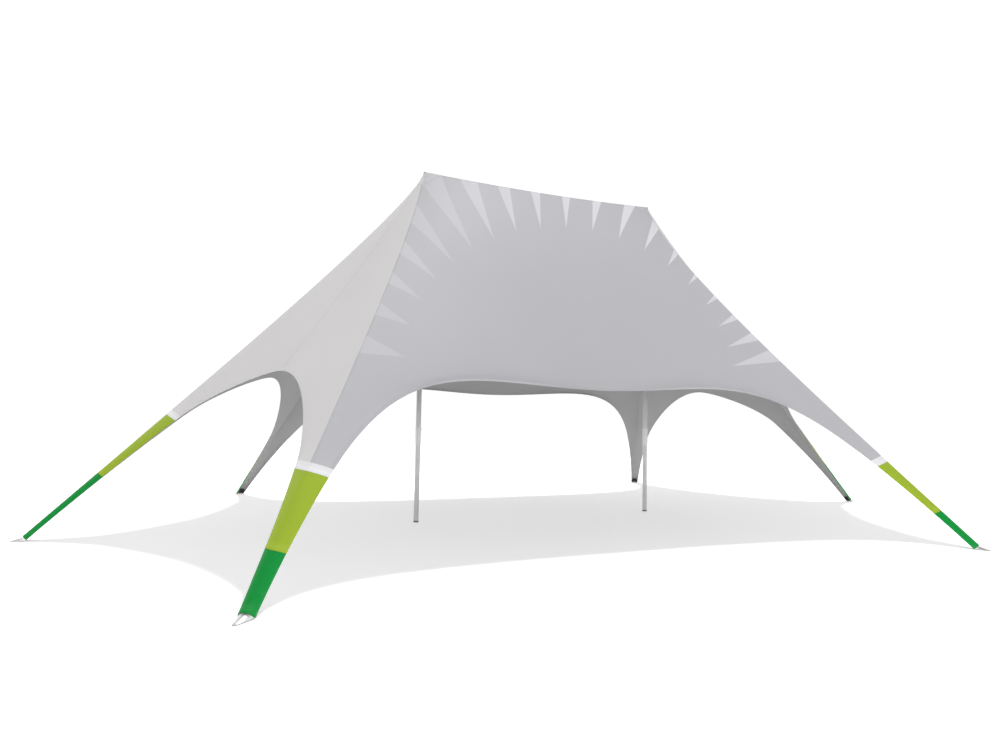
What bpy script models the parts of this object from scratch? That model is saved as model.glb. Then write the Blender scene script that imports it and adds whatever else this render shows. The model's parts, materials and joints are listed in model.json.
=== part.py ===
"""Twin-peak star marquee: one stretched canopy on two poles, with six legs that
come down as tapering half-pipes into metal foot shells.

Metres, +Z up. The ridge runs along X, and the origin is on the ground, midway
between the two poles. The canopy is symmetric about the planes x = 0 and y = 0,
so its curves are worked out for the quarter with x > 0 and y > 0 and mirrored.
"""

import math

import bmesh
import bpy
from mathutils import Matrix, Vector

# Plan and heights
PEAK_HEIGHT = 5.0
HALF_PEAK_SPACING = 1.9
END_TOE_X = 6.55
CORNER_TOE_X = 4.22
CORNER_TOE_Y = 3.77
RIDGE_SAG = 0.04

# Slopes of the leg crowns and of the seams in the end faces, from level
CROWN_TOP_SLOPE = math.radians(69.4)
LEG_SLOPE = math.radians(45.0)
SEAM_TOP_SLOPE = math.radians(60.8)
SEAM_FOOT_SLOPE = math.radians(51.7)

# Tops of the arched openings, and how strongly their edges lean on the curve's ends
END_ARCH_TOP = Vector((3.84, 1.05, 2.0))
LONG_ARCH_TOP = Vector((0.0, 1.92, 1.86))
END_ARCH_HANDLES = {"end_leg": 0.45, "top_to_end": 0.25, "top_to_corner": 0.55, "corner_leg": 0.3}
LONG_ARCH_HANDLES = {"leg": 1.74, "top": 1.53}

# The tops of the leg, of its lime sleeve and of its green sleeve, and the green sleeve's
# foot, as distances up the leg's crown line from the ground
CORNER_LEG_MARKS = (1.61, 1.505, 0.665, 0.08)
END_LEG_MARKS = (2.18, 2.1, 1.1, 0.085)

# Leg section: half width and depth as a quadratic of the distance up the leg. It is round
# up to one distance, and creased by one share at the leg's top
LEG_HALF_WIDTH = (0.056, 0.012, 0.036)
LEG_DEPTH = (0.058, 0.0, 0.017)
ROUND_UP_TO = 0.4
MOST_CREASE = 0.7

# How far the joints between the leg's colours turn from square to the leg towards level
JOINT_TURN = 0.6

# Canopy
FABRIC = 0.006
CAP_LENGTH = 0.25
COLUMNS = 8
RIDGE_ROWS, MIDDLE_ROWS, LONG_EDGE_ROWS = 4, 6, 8
SEAM_ROWS, END_EDGE_ROWS = 10, 8
RELAX_STEPS = 300
RELAX_FACTOR = 0.5
CURVE_SAMPLES = 400

# Leg sleeves
SLEEVE_ROWS = 3

# Foot shells
SHELL_WALL = 0.004
SHELL_CLEARANCE = 0.0005

# The toe is drawn out: below its start, the shell's crown bends up from the leg's line by
# this slope, over about this length
TOE_START = 0.078
TOE_SLOPE = 0.54
TOE_BEND = 0.02

# Sections of a foot shell, as distances up the leg. What lies below the ground is cut off
SHELL_SECTIONS = (0.15, 0.11, TOE_START, 0.064, 0.048, 0.03, 0.01, -0.012, -0.035, -0.06, -0.09, -0.13)

# Poles
TUBE_RADIUS = 0.035
TUBE_WALL = 0.003
PLUG_HEIGHT = 0.02
TUBE_JOINT = 1.20
COUPLING_BOTTOM, COUPLING_TOP = 1.07, 1.335
COUPLING_WALL = 0.003
HEAD_TIP_RADIUS = 0.004
HEAD_CLEARANCE = 0.0006
BUTTON_RADIUS = 0.008
BUTTON_LENGTH = 0.01
BUTTON_HEIGHT = 1.30
ROUND_STEPS = 24

GAP = 0.0003
MERGE = 0.0001
SMOOTH_BELOW = math.radians(30.0)
HALVING_DIRECTION = Vector((1.0, 0.37, 0.23))
SIDES_X = {"left": -1, "right": 1}
SIDES_Y = {"front": -1, "rear": 1}

PANEL_CAP, PANEL_MAIN, PANEL_CORNER_GORE, PANEL_END_GORE = range(4)


def clear_scene():
    for obj in list(bpy.data.objects):
        bpy.data.objects.remove(obj, do_unlink=True)


def material(name, colour, roughness, metallic=0.0):
    """A Principled material, made once for each name."""
    found = bpy.data.materials.get(name)
    if found:
        return found
    made = bpy.data.materials.new(name)
    made.use_nodes = True
    shader = made.node_tree.nodes["Principled BSDF"]
    shader.inputs["Base Color"].default_value = (*colour, 1.0)
    shader.inputs["Roughness"].default_value = roughness
    shader.inputs["Metallic"].default_value = metallic
    return made


def grey_canvas():
    return material("grey_canvas", (0.52, 0.52, 0.54), 0.7)


def lime_canvas():
    return material("lime_canvas", (0.36, 0.49, 0.045), 0.65)


def green_canvas():
    return material("green_canvas", (0.012, 0.30, 0.058), 0.65)


def polished_steel():
    return material("polished_steel", (0.72, 0.72, 0.74), 0.18, 1.0)


def brushed_aluminium():
    return material("brushed_aluminium", (0.62, 0.62, 0.64), 0.35, 1.0)


def black_plastic():
    return material("black_plastic", (0.02, 0.02, 0.02), 0.5)


def add_object(name, mesh, finish):
    if not mesh.materials:
        mesh.materials.append(finish)
    obj = bpy.data.objects.new(name, mesh)
    bpy.context.scene.collection.objects.link(obj)
    return obj


def mesh_of(bm, name):
    """Turns a bmesh into a mesh with outward faces, shaded smooth but for its sharp edges."""
    bmesh.ops.recalc_face_normals(bm, faces=bm.faces)
    mesh = bpy.data.meshes.new(name)
    bm.to_mesh(mesh)
    bm.free()
    mesh.shade_smooth()
    mesh.set_sharp_from_angle(angle=SMOOTH_BELOW)
    return mesh


# Curves

def quadratic(start, corner, end, t):
    return start * (1 - t) ** 2 + corner * (2 * t * (1 - t)) + end * t ** 2


def cubic(start, leaving, arriving, end, t):
    return (
        start * (1 - t) ** 3
        + leaving * (3 * t * (1 - t) ** 2)
        + arriving * (3 * t ** 2 * (1 - t))
        + end * t ** 3
    )


def sampled(curve):
    """Points along curve, a function of t from 0 to 1."""
    return [curve(i / CURVE_SAMPLES) for i in range(CURVE_SAMPLES + 1)]


def spaced(points, count):
    """count + 1 points at equal distances along a line of points."""
    travelled = [0.0]
    for before, after in zip(points, points[1:]):
        travelled.append(travelled[-1] + (after - before).length)
    found = []
    step = 0
    for i in range(count + 1):
        wanted = travelled[-1] * i / count
        while step < len(points) - 2 and travelled[step + 1] < wanted:
            step += 1
        part = (wanted - travelled[step]) / (travelled[step + 1] - travelled[step])
        found.append(points[step].lerp(points[step + 1], part))
    return found


def drop_curve(start, end, top_slope, foot_slope):
    """A curve that leaves start at top_slope below level and meets end at foot_slope."""
    level = Vector((end.x - start.x, end.y - start.y, 0.0))
    reach = level.length
    drop = start.z - end.z
    steep, shallow = math.tan(top_slope), math.tan(foot_slope)
    out = (drop - shallow * reach) / (steep - shallow)
    corner = start + level.normalized() * out - Vector((0.0, 0.0, steep * out))
    return lambda t: quadratic(start, corner, end, t)


# Legs

def by_distance(terms, distance):
    flat, linear, square = terms
    return flat + linear * distance + square * distance ** 2


class Leg:
    """A leg: the place where its crown line meets the ground, and its own frame with +X up
    the leg and +Z out of its crown."""

    def __init__(self, toe_x, toe_y):
        marks = CORNER_LEG_MARKS if toe_y else END_LEG_MARKS
        self.top, self.lime_top, self.green_top, self.green_foot = marks
        self.toe = Vector((toe_x, toe_y, 0.0))
        self.peak = Vector((math.copysign(HALF_PEAK_SPACING, toe_x), 0.0, PEAK_HEIGHT))
        peak_foot = Vector((self.peak.x, 0.0, 0.0))
        outward = (self.toe - peak_foot).normalized()
        up = Vector((0.0, 0.0, 1.0))
        along = up * math.sin(LEG_SLOPE) - outward * math.cos(LEG_SLOPE)
        normal = up * math.cos(LEG_SLOPE) + outward * math.sin(LEG_SLOPE)
        turn = Matrix((along, normal.cross(along), normal)).transposed().to_4x4()
        self.matrix = Matrix.Translation(self.toe) @ turn

    def section(self, distance, across, inset=0.0, rise=0.0):
        """A point of the outer face in the leg's frame. across runs from -1 to 1 between
        the two edges. The section is half an ellipse near the ground and gets a crease
        along its crown higher up. rise lifts its crown."""
        width = by_distance(LEG_HALF_WIDTH, distance) - inset
        depth = by_distance(LEG_DEPTH, distance)
        turn = across * math.pi / 2
        crease = max(0.0, distance - ROUND_UP_TO) / (self.top - ROUND_UP_TO) * MOST_CREASE
        sideways = width * ((1 - crease) * math.sin(turn) + crease * across)
        arch = (1 - crease) * math.cos(turn) + crease * (1 - abs(across))
        return Vector((distance, sideways, (depth + rise - inset) * arch - depth))

    def joint(self, mark, across):
        """Where a joint that meets the leg's edges at mark lies at a place across the leg."""
        raised = self.section(mark, across).z - self.section(mark, 1.0).z
        return mark - JOINT_TURN * raised / math.tan(LEG_SLOPE)

    def point(self, distance, across):
        return self.matrix @ self.section(distance, across)

    def edge_direction(self, across):
        """The direction of the leg's edge where the leg ends and the arch begins."""
        step = 0.01
        below = self.point(self.top - step, across)
        return (self.point(self.top, across) - below).normalized()

    def crown(self):
        """From the peak down to the leg's top."""
        end = self.point(self.joint(self.top, 0.0), 0.0)
        return drop_curve(self.peak, end, CROWN_TOP_SLOPE, LEG_SLOPE)


def end_leg():
    return Leg(END_TOE_X, 0.0)


def corner_leg():
    return Leg(CORNER_TOE_X, CORNER_TOE_Y)


def all_legs():
    """Every leg by the name of its place."""
    legs = {f"{name}_end": Leg(side * END_TOE_X, 0.0) for name, side in SIDES_X.items()}
    for y_name, side_y in SIDES_Y.items():
        for x_name, side_x in SIDES_X.items():
            legs[f"{y_name}_{x_name}"] = Leg(side_x * CORNER_TOE_X, side_y * CORNER_TOE_Y)
    return legs


# Canopy curves of the quarter

def peak_point():
    return Vector((HALF_PEAK_SPACING, 0.0, PEAK_HEIGHT))


def ridge_curve(t):
    """From the peak to the middle of the ridge."""
    x = HALF_PEAK_SPACING * (1 - t)
    return Vector((x, 0.0, PEAK_HEIGHT - RIDGE_SAG * (1 - (1 - t) ** 2)))


def middle_curve(t):
    """From the middle of the ridge straight down to the top of the long arch."""
    return ridge_curve(1.0).lerp(LONG_ARCH_TOP, t)


def long_edge_curve(t):
    """From the top of the long arch to the corner leg."""
    leg = corner_leg()
    start = LONG_ARCH_TOP
    end = leg.point(leg.top, -1.0)
    leaving = start + Vector((LONG_ARCH_HANDLES["top"], 0.0, 0.0))
    arriving = end + leg.edge_direction(-1.0) * LONG_ARCH_HANDLES["leg"]
    return cubic(start, leaving, arriving, end, t)


def end_arch_direction():
    """Level, from the end leg towards the corner leg."""
    return (corner_leg().toe - end_leg().toe).normalized()


def edge_to_end_leg(t):
    """From the top of the end arch to the end leg."""
    leg = end_leg()
    end = leg.point(leg.top, -1.0)
    leaving = END_ARCH_TOP - end_arch_direction() * END_ARCH_HANDLES["top_to_end"]
    arriving = end + leg.edge_direction(-1.0) * END_ARCH_HANDLES["end_leg"]
    return cubic(END_ARCH_TOP, leaving, arriving, end, t)


def edge_to_corner_leg(t):
    """From the top of the end arch to the corner leg."""
    leg = corner_leg()
    end = leg.point(leg.top, 1.0)
    leaving = END_ARCH_TOP + end_arch_direction() * END_ARCH_HANDLES["top_to_corner"]
    arriving = end + leg.edge_direction(1.0) * END_ARCH_HANDLES["corner_leg"]
    return cubic(END_ARCH_TOP, leaving, arriving, end, t)


def with_cap_row(curve, rows):
    """Points from the peak: one row of the cap, then rows more."""
    points = sampled(curve)
    first = 0
    travelled = 0.0
    while travelled < CAP_LENGTH:
        travelled += (points[first + 1] - points[first]).length
        first += 1
    return [points[0]] + spaced(points[first:], rows)


def crown_points(leg):
    return with_cap_row(leg.crown(), SEAM_ROWS + END_EDGE_ROWS)


def seam_points():
    seam = drop_curve(peak_point(), END_ARCH_TOP, SEAM_TOP_SLOPE, SEAM_FOOT_SLOPE)
    return with_cap_row(seam, SEAM_ROWS)


def long_face_points():
    """Round the long face's far side: along the ridge, down the middle and out along the arch."""
    ridge = with_cap_row(ridge_curve, RIDGE_ROWS)
    middle = spaced(sampled(middle_curve), MIDDLE_ROWS)
    edge = spaced(sampled(long_edge_curve), LONG_EDGE_ROWS)
    return ridge + middle[1:] + edge[1:]


# Canopy sheet of the quarter

def place_in_grid(vert, rows):
    """The row and column of a vertex of a fresh unit grid."""
    return round((vert.co.y + 0.5) * rows), round((vert.co.x + 0.5) * COLUMNS)


def add_sheet(bm, kind, leg, side, far_points):
    """A sheet between a leg's crown and far_points, from the peak down to the leg, and on
    down the leg's band. side is -1 or 1, the leg's edge that far_points ends at."""
    panel = bm.faces.layers.int["panel"]
    free = bm.verts.layers.int["free"]
    station = bm.verts.layers.float["station"]
    aside = bm.verts.layers.float["aside"]
    near_points = crown_points(leg)
    leg_top_row = len(near_points) - 1
    rows = leg_top_row + 1
    middle_rows = range(RIDGE_ROWS + 2, RIDGE_ROWS + MIDDLE_ROWS + 1)
    made = bmesh.ops.create_grid(bm, x_segments=COLUMNS, y_segments=rows, size=0.5)
    for face in {face for vert in made["verts"] for face in vert.link_faces}:
        in_cap = (face.calc_center_median().y + 0.5) * rows < 1
        face[panel] = PANEL_CAP if in_cap else kind
    for vert in made["verts"]:
        row, column = place_in_grid(vert, rows)
        across = column / COLUMNS
        if row < leg_top_row:
            vert.co = near_points[row].lerp(far_points[row], across)
            on_middle = kind == PANEL_MAIN and column == COLUMNS and row in middle_rows
            vert[free] = int(on_middle or (0 < column < COLUMNS and row > 1))
            continue
        vert[station] = leg.joint(leg.top if row == leg_top_row else leg.lime_top, across)
        vert[aside] = across
        vert.co = leg.point(vert[station], side * across)


def canopy_sheet():
    """The whole canopy down to the leg sleeves, as one sheet without thickness."""
    bm = bmesh.new()
    bm.faces.layers.int.new("panel")
    bm.verts.layers.int.new("free")
    bm.verts.layers.float.new("station")
    bm.verts.layers.float.new("aside")
    seam = seam_points()
    to_corner = seam + spaced(sampled(edge_to_corner_leg), END_EDGE_ROWS)[1:]
    to_end = seam + spaced(sampled(edge_to_end_leg), END_EDGE_ROWS)[1:]
    add_sheet(bm, PANEL_MAIN, corner_leg(), -1, long_face_points())
    add_sheet(bm, PANEL_CORNER_GORE, corner_leg(), 1, to_corner)
    add_sheet(bm, PANEL_END_GORE, end_leg(), -1, to_end)
    bmesh.ops.remove_doubles(bm, verts=bm.verts, dist=MERGE)
    for axis in ("X", "Y"):
        everything = bm.verts[:] + bm.edges[:] + bm.faces[:]
        bmesh.ops.mirror(bm, geom=everything, axis=axis, merge_dist=MERGE)
    bmesh.ops.recalc_face_normals(bm, faces=bm.faces)
    if sum(face.normal.z for face in bm.faces) < 0:
        bmesh.ops.reverse_faces(bm, faces=bm.faces)
    return bm


def relax(bm):
    """Lets the stretched fabric settle between its crowns, seams and edges."""
    free = bm.verts.layers.int["free"]
    settling = [vert for vert in bm.verts if vert[free]]
    for _ in range(RELAX_STEPS):
        bmesh.ops.smooth_vert(
            bm, verts=settling, factor=RELAX_FACTOR, use_axis_x=True, use_axis_y=True, use_axis_z=True
        )


def leg_at(point, legs):
    """The leg that a point of a leg's band belongs to."""
    return min(legs, key=lambda leg: (leg.toe - point).length)


def long_panel_pitch():
    """The slope of the long panels beside the peak."""
    first = crown_points(corner_leg())[1] - peak_point()
    return math.atan2(-first.z, first.y)


def fabric_under_peak():
    return FABRIC / math.cos(long_panel_pitch())


def mark_inner_face(bm):
    """Stores on each vertex where the fabric's inner face lies below it."""
    inner = bm.verts.layers.float_vector.new("inner")
    station = bm.verts.layers.float["station"]
    aside = bm.verts.layers.float["aside"]
    legs = list(all_legs().values())
    bm.normal_update()
    for vert in bm.verts:
        if vert[station] > 0:
            leg = leg_at(vert.co, legs)
            side = math.copysign(vert[aside], (leg.matrix.inverted() @ vert.co).y)
            vert[inner] = leg.matrix @ leg.section(vert[station], side, FABRIC)
        elif vert.co.z > PEAK_HEIGHT - MERGE:
            vert[inner] = vert.co - Vector((0.0, 0.0, fabric_under_peak()))
        else:
            vert[inner] = vert.co - vert.normal * FABRIC * vert.calc_shell_factor()


def draw_back_edges(bm, gap):
    """Moves the sheet's edge in by gap, so that two panels with a common seam stay apart."""
    inner = bm.verts.layers.float_vector["inner"]
    moves = {}
    for edge in bm.edges:
        if not edge.is_boundary:
            continue
        centre = edge.link_faces[0].calc_center_median()
        start, end = edge.verts
        along = (end.co - start.co).normalized()
        inward = centre - start.co
        inward = (inward - along * inward.dot(along)).normalized()
        for vert in edge.verts:
            moves.setdefault(vert, []).append(inward)
    for vert, inwards in moves.items():
        shift = sum(inwards, Vector()) * gap
        vert.co += shift
        vert[inner] = vert[inner] + shift


def close_sheet(bm):
    """Gives the sheet its thickness, down to the stored inner face. The walls round it are
    halved by a rule that two panels with a common seam share, so that they stay parallel."""
    inner = bm.verts.layers.float_vector["inner"]
    made = bmesh.ops.extrude_face_region(bm, geom=bm.faces[:])
    below = {item for item in made["geom"] if isinstance(item, bmesh.types.BMVert)}
    for vert in below:
        vert.co = vert[inner]
    for face in bm.faces[:]:
        above = [vert for vert in face.verts if vert not in below]
        if len(face.verts) != 4 or len(above) != 2:
            continue
        first = max(above, key=lambda vert: vert.co.dot(HALVING_DIRECTION))
        beside = {edge.other_vert(first) for edge in first.link_edges}
        across = next(vert for vert in face.verts if vert in below and vert not in beside)
        bmesh.utils.face_split(face, first, across)


def add_canopy_panel(name, sheet, panel_kind, side_x, side_y):
    """One panel of the canopy. A side of 0 takes both sides of that plane."""
    bm = sheet.copy()
    panel = bm.faces.layers.int["panel"]
    others = []
    for face in bm.faces:
        centre = face.calc_center_median()
        here = face[panel] == panel_kind and centre.x * side_x >= 0 and centre.y * side_y >= 0
        if not here:
            others.append(face)
    bmesh.ops.delete(bm, geom=others, context="FACES")
    draw_back_edges(bm, GAP / 2)
    close_sheet(bm)
    return add_object(name, mesh_of(bm, name), grey_canvas())


def add_canopy():
    sheet = canopy_sheet()
    relax(sheet)
    mark_inner_face(sheet)
    kinds = {"main_panel": PANEL_MAIN, "corner_gore": PANEL_CORNER_GORE, "end_gore": PANEL_END_GORE}
    for x_name, side_x in SIDES_X.items():
        add_canopy_panel(f"{x_name}_peak_cap", sheet, PANEL_CAP, side_x, 0)
        for y_name, side_y in SIDES_Y.items():
            for kind_name, kind in kinds.items():
                add_canopy_panel(f"{y_name}_{x_name}_{kind_name}", sheet, kind, side_x, side_y)
    sheet.free()


# Leg sleeves and foot shells, in the leg's own frame

def half_pipe_mesh(name, rows, place):
    """A half-pipe of rows + 1 sections. place gives the outer and the inner face's point
    for a share of its length and a place across."""
    bm = bmesh.new()
    inner = bm.verts.layers.float_vector.new("inner")
    made = bmesh.ops.create_grid(bm, x_segments=2 * COLUMNS, y_segments=rows, size=1.0)
    for vert in made["verts"]:
        across = round(vert.co.x * COLUMNS) / COLUMNS
        vert.co, vert[inner] = place((vert.co.y + 1) / 2, across)
    close_sheet(bm)
    return mesh_of(bm, name)


def sleeve_mesh(name, leg, top, bottom):
    """A fabric sleeve between two joints, each a function of the place across."""
    def place(share, across):
        distance = bottom(across) + (top(across) - bottom(across)) * share
        return leg.section(distance, across), leg.section(distance, across, FABRIC)

    return half_pipe_mesh(name, SLEEVE_ROWS, place)


def foot_shell_mesh(leg):
    """The metal foot, from inside the green sleeve to below the ground, with its toe drawn out."""
    inset = FABRIC + SHELL_CLEARANCE
    rows = len(SHELL_SECTIONS) - 1

    def place(share, across):
        distance = SHELL_SECTIONS[round(share * rows)]
        past_start = max(0.0, TOE_START - distance)
        rise = TOE_SLOPE * past_start ** 2 / (past_start + TOE_BEND)
        outer = leg.section(distance, across, inset, rise)
        return outer, leg.section(distance, across, inset + SHELL_WALL, rise)

    return half_pipe_mesh("foot_shell", rows, place)


def ground_cutter():
    """A block below the ground that the foot shells are cut off by."""
    bm = bmesh.new()
    size = 4 * END_TOE_X
    bmesh.ops.create_cube(bm, size=size)
    bmesh.ops.translate(bm, verts=bm.verts, vec=(0.0, 0.0, -size / 2))
    cutter = add_object("ground_cutter", mesh_of(bm, "ground_cutter"), black_plastic())
    cutter.hide_render = True
    cutter.display_type = "WIRE"
    return cutter


def leg_meshes(leg):
    """The lime sleeve, the green sleeve and the foot shell of a leg, each with its finish."""
    half = GAP / 2
    lime = sleeve_mesh(
        "lime_sleeve", leg,
        lambda across: leg.joint(leg.lime_top, across) - half,
        lambda across: leg.joint(leg.green_top, across) + half,
    )
    green = sleeve_mesh(
        "green_sleeve", leg,
        lambda across: leg.joint(leg.green_top, across) - half,
        lambda across: leg.green_foot,
    )
    return {
        "lime_sleeve": (lime, lime_canvas()),
        "green_sleeve": (green, green_canvas()),
        "foot_shell": (foot_shell_mesh(leg), polished_steel()),
    }


def add_legs():
    meshes = {"end": leg_meshes(end_leg()), "corner": leg_meshes(corner_leg())}
    cutter = ground_cutter()
    for leg_name, leg in all_legs().items():
        kind = "corner" if leg.toe.y else "end"
        for piece, (mesh, finish) in meshes[kind].items():
            obj = add_object(f"{leg_name}_{piece}", mesh, finish)
            obj.matrix_world = leg.matrix
            if piece == "foot_shell":
                cut = obj.modifiers.new("ground", "BOOLEAN")
                cut.operation = "DIFFERENCE"
                cut.solver = "EXACT"
                cut.object = cutter


# Poles

def tube_mesh(name, radius, wall, bottom, top):
    """A pipe along Z, turned from its wall's section."""
    bm = bmesh.new()
    corners = ((radius, top), (radius, bottom), (radius - wall, bottom), (radius - wall, top))
    ring = [bm.verts.new((x, 0.0, z)) for x, z in corners]
    section = [bm.edges.new((ring[i], ring[(i + 1) % 4])) for i in range(4)]
    bmesh.ops.spin(
        bm, geom=ring + section, axis=(0, 0, 1), cent=(0, 0, 0),
        angle=2 * math.pi, steps=ROUND_STEPS, use_merge=True,
    )
    return mesh_of(bm, name)


def cone_mesh(name, bottom_radius, top_radius, bottom, top):
    """A solid round piece along Z."""
    bm = bmesh.new()
    bmesh.ops.create_cone(
        bm, cap_ends=True, segments=ROUND_STEPS,
        radius1=bottom_radius, radius2=top_radius, depth=top - bottom,
    )
    bmesh.ops.translate(bm, verts=bm.verts, vec=(0.0, 0.0, (top + bottom) / 2))
    return mesh_of(bm, name)


def head_tip_height():
    under_fabric = (FABRIC + HEAD_CLEARANCE) / math.cos(long_panel_pitch())
    return PEAK_HEIGHT - under_fabric - HEAD_TIP_RADIUS * math.tan(long_panel_pitch())


def head_base_height():
    return head_tip_height() - (TUBE_RADIUS - HEAD_TIP_RADIUS) * math.tan(long_panel_pitch())


def add_poles():
    coupling_radius = TUBE_RADIUS + GAP + COUPLING_WALL
    turned = {
        "pole_end_plug": (cone_mesh("end_plug", TUBE_RADIUS, TUBE_RADIUS, 0.0, PLUG_HEIGHT), black_plastic()),
        "lower_tube": (
            tube_mesh("lower_tube", TUBE_RADIUS, TUBE_WALL, PLUG_HEIGHT + GAP, TUBE_JOINT),
            brushed_aluminium(),
        ),
        "coupling": (
            tube_mesh("coupling", coupling_radius, COUPLING_WALL, COUPLING_BOTTOM, COUPLING_TOP),
            brushed_aluminium(),
        ),
        "upper_tube": (
            tube_mesh("upper_tube", TUBE_RADIUS, TUBE_WALL, TUBE_JOINT + GAP, head_base_height() - GAP),
            brushed_aluminium(),
        ),
        "pole_head": (
            cone_mesh("pole_head", TUBE_RADIUS, HEAD_TIP_RADIUS, head_base_height(), head_tip_height()),
            black_plastic(),
        ),
    }
    button = cone_mesh("lock_button", BUTTON_RADIUS, BUTTON_RADIUS, 0.0, BUTTON_LENGTH)
    for x_name, side_x in SIDES_X.items():
        foot = Vector((side_x * HALF_PEAK_SPACING, 0.0, 0.0))
        for piece, (mesh, finish) in turned.items():
            obj = add_object(f"{x_name}_{piece}", mesh, finish)
            obj.location = foot
        obj = add_object(f"{x_name}_lock_button", button, brushed_aluminium())
        obj.location = foot + Vector((coupling_radius + GAP, 0.0, BUTTON_HEIGHT))
        obj.rotation_euler = (0.0, math.radians(90.0), 0.0)


if __name__ == "__main__":
    clear_scene()
    add_canopy()
    add_legs()
    add_poles()
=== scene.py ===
"""Star marquee: the fabric, seams, sleeves, feet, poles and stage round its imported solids.

Metres, +Z up. The ridge runs along X, and the origin is on the ground, midway between
the two poles. The fabric's curves are worked out for the quarter with x > 0 and y > 0
and mirrored.
"""

import json
import math

import bmesh
import bpy
import numpy
from bpy.props import FloatProperty, FloatVectorProperty, PointerProperty
from mathutils import Matrix, Vector
from mathutils.bvhtree import BVHTree

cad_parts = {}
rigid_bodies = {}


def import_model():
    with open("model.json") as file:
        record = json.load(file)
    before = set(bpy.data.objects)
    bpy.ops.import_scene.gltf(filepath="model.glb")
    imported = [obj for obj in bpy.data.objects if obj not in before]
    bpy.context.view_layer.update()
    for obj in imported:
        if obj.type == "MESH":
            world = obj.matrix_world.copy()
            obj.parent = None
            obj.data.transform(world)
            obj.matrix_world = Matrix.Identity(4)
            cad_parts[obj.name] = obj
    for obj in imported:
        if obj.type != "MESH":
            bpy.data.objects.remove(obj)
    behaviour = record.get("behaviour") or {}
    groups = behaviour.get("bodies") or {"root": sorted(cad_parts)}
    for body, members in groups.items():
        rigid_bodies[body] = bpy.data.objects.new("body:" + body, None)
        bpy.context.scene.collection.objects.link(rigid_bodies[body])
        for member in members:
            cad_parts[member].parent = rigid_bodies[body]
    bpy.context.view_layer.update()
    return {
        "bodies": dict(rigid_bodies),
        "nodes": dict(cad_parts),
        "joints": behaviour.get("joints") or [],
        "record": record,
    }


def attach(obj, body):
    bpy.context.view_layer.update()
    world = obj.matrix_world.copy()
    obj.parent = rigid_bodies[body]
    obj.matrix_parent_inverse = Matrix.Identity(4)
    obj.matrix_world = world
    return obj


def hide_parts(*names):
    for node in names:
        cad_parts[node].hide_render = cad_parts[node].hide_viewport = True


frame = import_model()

bl_info = {
    "name": "Star marquee",
    "version": (1, 0, 0),
    "blender": (4, 5, 0),
    "location": "3D View > Sidebar > Marquee",
    "description": "Twin-peak star marquee: fabric, seams, sleeves, feet, poles and stage",
    "category": "Object",
}

# Slopes of the leg crowns and of the seams in the end faces, from level
CROWN_TOP_SLOPE = math.radians(69.4)
LEG_SLOPE = math.radians(45.0)
SEAM_TOP_SLOPE = math.radians(60.8)
SEAM_FOOT_SLOPE = math.radians(51.7)

# Tops of the arched openings, and how far their edges lean on the curve's ends: at the
# arch's top and at the leg. The end arch's are for its sides, -1 towards the end leg and
# 1 towards the corner leg
END_ARCH_TOP = Vector((3.84, 1.05, 2.0))
LONG_ARCH_TOP = Vector((0.0, 1.92, 1.86))
END_ARCH_HANDLES = {-1: (0.25, 0.45), 1: (0.55, 0.3)}
LONG_ARCH_HANDLES = (1.53, 1.92)

# Leg section: half width and depth as a quadratic of the distance up the leg. The corner
# legs are wider on the side of the end face. The section is round up to one distance, and
# creased by one share at the leg's top
END_LEG_HALF_WIDTH = (0.056, 0.012, 0.036)
END_LEG_DEPTH = (0.058, 0.0, 0.017)
LONG_SIDE_HALF_WIDTH = (0.067, 0.014, 0.036)
END_SIDE_HALF_WIDTH = (0.067, 0.037, 0.035)
CORNER_LEG_DEPTH = (0.070, 0.0, 0.020)
ROUND_UP_TO = 0.4
MOST_CREASE = 0.7

# Joints between the leg's colours: how far they turn from square to the leg towards level,
# and how much they drop towards the long face, for a length across the leg
CORNER_JOINT_TURN, END_JOINT_TURN = 0.6, 0.25
CORNER_JOINT_DROP = 0.27

# Foot shells: where they end, inside the sleeve and below the ground, and how the toe is
# drawn out. Below its start, the crown bends up from the leg's line by this slope, over
# about this length
SHELL_TOP, SHELL_BOTTOM = 0.15, -0.13
SHELL_INSET = 0.0065
TOE_START = 0.078
TOE_SLOPE = 0.54
TOE_BEND = 0.02
SHELL_COLUMNS = 16
SHELL_ROWS = 40

# Mesh of the quarter sheet. The cap is the part under a peak's patch. MERGE and WELD are the
# distances within which vertices are joined, and NO_LENGTH stands in for a length of 0
COLUMNS = 24
CAP_LENGTH = 0.25
CAP_ROWS = 4
RIDGE_ROWS, MIDDLE_ROWS, LONG_EDGE_ROWS = 12, 18, 24
SEAM_ROWS, END_EDGE_ROWS = 30, 24
RELAX_STEPS = 1500
RELAX_FACTOR = 0.9
CURVE_SAMPLES = 1200
MERGE = 0.00005
WELD = 1e-6
NO_LENGTH = 1e-12
SMOOTH_ANGLE = math.radians(40.0)

# Seams and hems: how far they stand proud of the fabric, how far in from their edges that
# is reached, how far the edges themselves sink back, and a seam's strips on its outer face
HEM_PROUD = 0.0007
HEM_RAMP = 0.002
EDGE_SINK = HEM_PROUD * 0.9
SEAM_OUTER_STRIPS = 4

# Hems: the steps in which they bend with the fabric, and the turns round their fold
HEM_STEPS = 4
HEM_FOLD = (math.pi / 4, 0.0, -math.pi / 4)

# Leg sleeves: the doubled hem at their lower end, the folds along their edges as multiples
# of the fabric, and the share of the leg's depth in half their girth
SLEEVE_COLUMNS = 14
SLEEVE_ROW = 0.06
END_HEM = 0.028
END_HEM_PROUD = 0.0011
FOLD_DEPTH = 2.2
FOLD_OVERLAP = 0.985
GIRTH_OF_DEPTH = 0.6
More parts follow.
